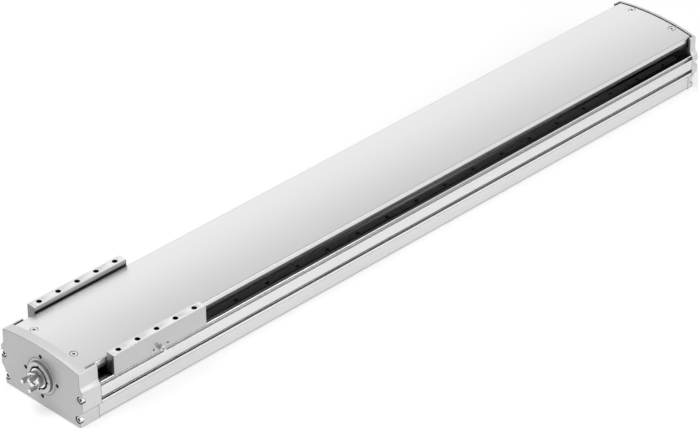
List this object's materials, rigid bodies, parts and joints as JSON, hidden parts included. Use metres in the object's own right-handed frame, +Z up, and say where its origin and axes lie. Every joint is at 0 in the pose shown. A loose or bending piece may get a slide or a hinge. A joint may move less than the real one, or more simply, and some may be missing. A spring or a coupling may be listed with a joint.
{
  "type": "ball screw linear axis",
  "caption": "Long linear axis: an arched cover over an aluminium base, a carriage whose bars run along both sides, and a ball screw turned through a claw hub.",
  "frame": {"origin": "middle of the base profile's underside", "axes": "+X from the drive end to the far end along the screw, +Z up through the cover"},
  "size_m": [1.2865, 0.1888, 0.0991],
  "materials": {
    "anodised_profile": "natural anodised, satin",
    "cast_cap": "fine blasted, natural anodised",
    "cover_sheet": "natural anodised, satin",
    "carriage_aluminium": "milled, natural anodised",
    "rail_steel": "ground and hardened",
    "screw_steel": "ground and hardened",
    "bearing_steel": "ground",
    "fastener_steel": "zinc plated",
    "hub_aluminium": "turned",
    "collar_aluminium": "turned, anodised; darker on its round walls",
    "black_oxide": "black oxide",
    "black_plastic": "moulded",
    "black_rubber": "moulded"
  },
  "bodies": {
    "base": {"base_profile": "anodised_profile", "drive_cap": "cast_cap", "end_cap": "cast_cap", "cover": "cover_sheet", "cover_screws": "fastener_steel", "drive_cap_screws": "fastener_steel", "end_cap_screws": "fastener_steel", "guide_rail_left": "rail_steel", "guide_rail_right": "rail_steel", "rail_screws_left": "black_oxide", "rail_screws_right": "black_oxide", "pilot_collar": "collar_aluminium", "shaft_seal": "black_rubber", "fixed_bearing_front_outer_ring": "bearing_steel", "fixed_bearing_rear_outer_ring": "bearing_steel", "floating_bearing_outer_ring": "bearing_steel", "drive_end_buffers": "black_rubber", "far_end_buffers": "black_rubber"},
    "screw": {"screw_shaft": "screw_steel", "lock_nut": "fastener_steel", "coupling_hub": "hub_aluminium", "hub_set_screw": "fastener_steel", "fixed_bearing_front_inner_ring": "bearing_steel", "fixed_bearing_rear_inner_ring": "bearing_steel", "floating_bearing_inner_ring": "bearing_steel", "shaft_circlip": "fastener_steel"},
    "carriage": {"carriage_plate": "carriage_aluminium", "mounting_bar_left": "carriage_aluminium", "mounting_bar_right": "carriage_aluminium", "bar_screws": "black_oxide", "block_screws": "black_oxide", "grease_nipple": "fastener_steel", "ball_nut": "screw_steel", "nut_wiper_front": "black_plastic", "nut_wiper_rear": "black_plastic", "nut_screws": "black_oxide", "runner_block_front_left": "rail_steel", "runner_end_plates_front_left": "black_plastic", "runner_block_front_right": "rail_steel", "runner_end_plates_front_right": "black_plastic", "runner_block_rear_left": "rail_steel", "runner_end_plates_rear_left": "black_plastic", "runner_block_rear_right": "rail_steel", "runner_end_plates_rear_right": "black_plastic"}
  },
  "joints": [
    {"name": "screw_turn", "type": "hinge", "parent": "base", "child": "screw", "pos_m": [0, 0, 0.0484], "axis": [-1, 0, 0], "range_deg": [0, 36000]},
    {"name": "carriage_slide", "type": "slide", "parent": "base", "child": "carriage", "axis": [1, 0, 0], "range_m": [0, 1]}
  ],
  "couplings": [
    {"joint": "screw_turn", "follows": "carriage_slide", "rad_per_m": 628.32}
  ]
}
